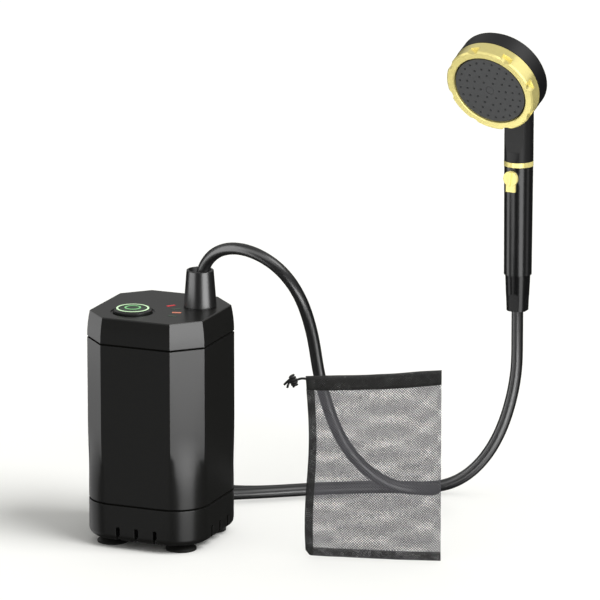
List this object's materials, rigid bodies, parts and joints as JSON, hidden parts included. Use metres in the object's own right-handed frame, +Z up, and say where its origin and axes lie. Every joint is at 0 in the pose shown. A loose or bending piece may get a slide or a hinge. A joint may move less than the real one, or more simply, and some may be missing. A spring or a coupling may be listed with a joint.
{
  "type": "camp shower pump",
  "caption": "Battery camp shower pump in a black eight-sided casing with suction feet, power button and outlet cone, a long hose, a shower handset with gold ring, and a mesh drawstring bag.",
  "frame": {"origin": "on the floor under the centre of the pump casing, in the plane of the suction feet", "axes": "+Z up, the front of the pump faces -Y, the flat sides of the casing face along X and Y"},
  "size_m": [0.35, 0.2718, 0.3895],
  "materials": {
    "casing_black": "satin",
    "gloss_black": "gloss",
    "button_green": "gloss",
    "light_ring": "translucent",
    "lamp_lens": "translucent",
    "foot_rubber": "matte",
    "seal_rubber": "matte",
    "inner_plastic": "matte",
    "impeller_plastic": "matte",
    "fastener_steel": "plain",
    "motor_steel": "plain",
    "magnet": "matte",
    "winding": "enamelled wire",
    "bearing": "sintered",
    "lead_red": "matte",
    "lead_blue": "matte",
    "cell_wrap": "shrink wrap",
    "board_green": "solder mask",
    "tube_clear": "translucent",
    "hose_rubber": "gloss",
    "handset_black": "gloss",
    "gold": "gold plated",
    "brass": "turned",
    "plate_grey": "satin",
    "mat_rubber": "matte",
    "disc_white": "matte",
    "mesh_fabric": "net",
    "cord_fabric": "braided"
  },
  "bodies": {
    "pump": {"suction_feet": "foot_rubber", "base_cover": "casing_black", "base_screws": "fastener_steel", "bulkhead": "inner_plastic", "base_gasket": "seal_rubber", "intake_screen": "inner_plastic", "intake_plate": "inner_plastic", "pump_housing": "inner_plastic", "housing_screws": "fastener_steel", "shaft_seal": "seal_rubber", "motor_can": "motor_steel", "motor_magnets": "magnet", "motor_bearings": "bearing", "motor_end_bell": "inner_plastic", "motor_screws": "fastener_steel", "motor_leads": "lead_red", "battery_holder": "inner_plastic", "battery_cells": "cell_wrap", "body_shell": "casing_black", "control_board": "board_green", "board_screws": "fastener_steel", "cap_gasket": "seal_rubber", "top_cap": "casing_black", "button_seal": "foot_rubber", "button_spring": "fastener_steel", "indicator_lenses": "lamp_lens", "riser_tube": "tube_clear", "outlet_nipple": "inner_plastic", "outlet_cone": "gloss_black", "charge_socket": "inner_plastic", "charge_leads": "lead_blue", "flap_pin": "fastener_steel", "shower_hose": "hose_rubber", "hose_tail": "brass"},
    "button": {"power_button": "button_green", "button_light_rings": "light_ring"},
    "rotor_group": {"rotor": "winding", "impeller": "impeller_plastic"},
    "flap": {"charge_flap": "foot_rubber"},
    "handset": {"swivel_collar": "handset_black", "swivel_washer": "seal_rubber", "handle_tube": "handset_black", "neck_band": "gold", "spindle_seal": "seal_rubber", "head_shell": "handset_black", "flow_disc": "disc_white", "head_gasket": "seal_rubber", "selector_screw": "fastener_steel"},
    "spray_selector": {"selector_ring": "gold", "nozzle_plate": "plate_grey", "nozzle_mat": "mat_rubber"},
    "knob": {"flow_knob": "gold", "valve_spindle": "brass"},
    "bag": {"mesh_bag": "mesh_fabric", "drawstring": "cord_fabric", "drawstring_knot": "cord_fabric"}
  },
  "joints": [
    {"name": "button_press", "type": "slide", "parent": "pump", "child": "button", "axis": [0, 0, -1], "range_m": [0, 0.0012], "stiffness_N_per_m": 1000, "springref_m": -0.001, "deforming": ["button_spring"]},
    {"name": "rotor_spin", "type": "hinge", "parent": "pump", "child": "rotor_group", "pos_m": [0, 0, 0.06], "axis": [0, 0, 1], "continuous": true},
    {"name": "flap_swing", "type": "hinge", "parent": "pump", "child": "flap", "pos_m": [0, 0.052, 0.1605], "axis": [1, 0, 0], "range_deg": [0, 110]},
    {"name": "handset_swivel", "type": "hinge", "parent": "pump", "child": "handset", "pos_m": [0.2196, 0.21, 0.171], "axis": [0, 0, 1], "continuous": true},
    {"name": "selector_turn", "type": "hinge", "parent": "handset", "child": "spray_selector", "pos_m": [0.2196, 0.21, 0.3676], "axis": [-0.1109, -0.9032, -0.4147], "range_deg": [0, 120]},
    {"name": "knob_turn", "type": "hinge", "parent": "handset", "child": "knob", "pos_m": [0.2196, 0.21, 0.26605], "axis": [-0.1219, -0.9925, 0], "range_deg": [0, 90]},
    {"name": "bag_lift", "type": "slide", "parent": "pump", "child": "bag", "axis": [0, 0, 1], "range_m": [0, 0.15]}
  ]
}
